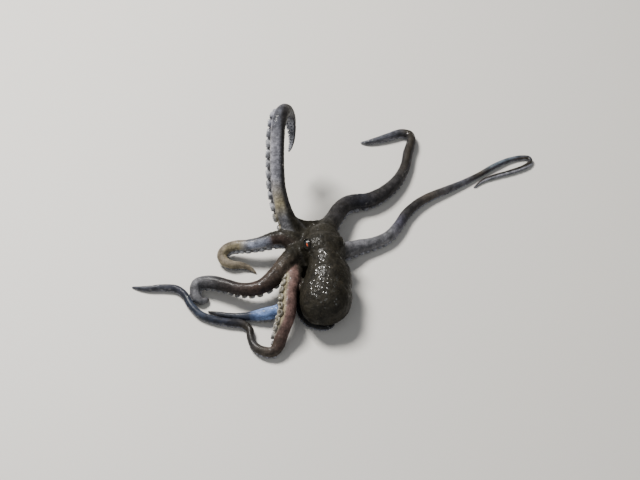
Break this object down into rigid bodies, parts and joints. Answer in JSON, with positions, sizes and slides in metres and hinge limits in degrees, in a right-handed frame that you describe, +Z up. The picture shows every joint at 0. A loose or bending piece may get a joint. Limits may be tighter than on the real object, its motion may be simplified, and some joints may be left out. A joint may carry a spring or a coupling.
{
  "type": "octopus",
  "caption": "Life-size small octopus resting with its arms spread and one arm raised, egg-shaped mantle, long tapering arms with suckers; a still model.",
  "frame": {"origin": "centre of the bounding box in X and Y, at the floor that the animal rests on", "axes": "+X to the right and +Y away from the viewer, as the picture shows the animal; +Z up from the floor. The mantle points to -Y."},
  "size_m": [0.1538, 0.1112, 0.0387],
  "materials": {
    "dark_skin": "wet",
    "slate_skin": "wet",
    "plum_skin": "wet",
    "grey_skin": "wet",
    "blue_skin": "wet",
    "eye": "wet"
  },
  "bodies": {
    "root": {"arm_crown": "dark_skin", "arm_left_1_1": "grey_skin", "arm_left_1_2": "grey_skin", "arm_left_1_3": "grey_skin", "arm_left_1_tip": "grey_skin", "arm_left_2_1": "grey_skin", "arm_left_2_2": "grey_skin", "arm_left_2_tip": "grey_skin", "arm_left_3_1": "plum_skin", "arm_left_3_2": "plum_skin", "arm_left_3_3": "plum_skin", "arm_left_3_tip": "plum_skin", "arm_left_4_1": "plum_skin", "arm_left_4_2": "plum_skin", "arm_left_4_3": "plum_skin", "arm_left_4_4": "plum_skin", "arm_left_4_5": "plum_skin", "arm_left_4_6": "plum_skin", "arm_left_4_tip": "plum_skin", "arm_right_1_1": "slate_skin", "arm_right_1_2": "slate_skin", "arm_right_1_3": "slate_skin", "arm_right_1_4": "slate_skin", "arm_right_1_tip": "slate_skin", "arm_right_2_1": "slate_skin", "arm_right_2_2": "slate_skin", "arm_right_2_3": "slate_skin", "arm_right_2_4": "slate_skin", "arm_right_2_5": "slate_skin", "arm_right_2_tip": "slate_skin", "arm_right_3_1": "dark_skin", "arm_right_3_2": "dark_skin", "arm_right_3_tip": "dark_skin", "arm_right_4_1": "blue_skin", "arm_right_4_2": "blue_skin", "arm_right_4_tip": "blue_skin", "eye_left": "eye", "eye_right": "eye", "funnel": "dark_skin", "head": "dark_skin", "mantle": "dark_skin"}
  },
  "joints": []
}
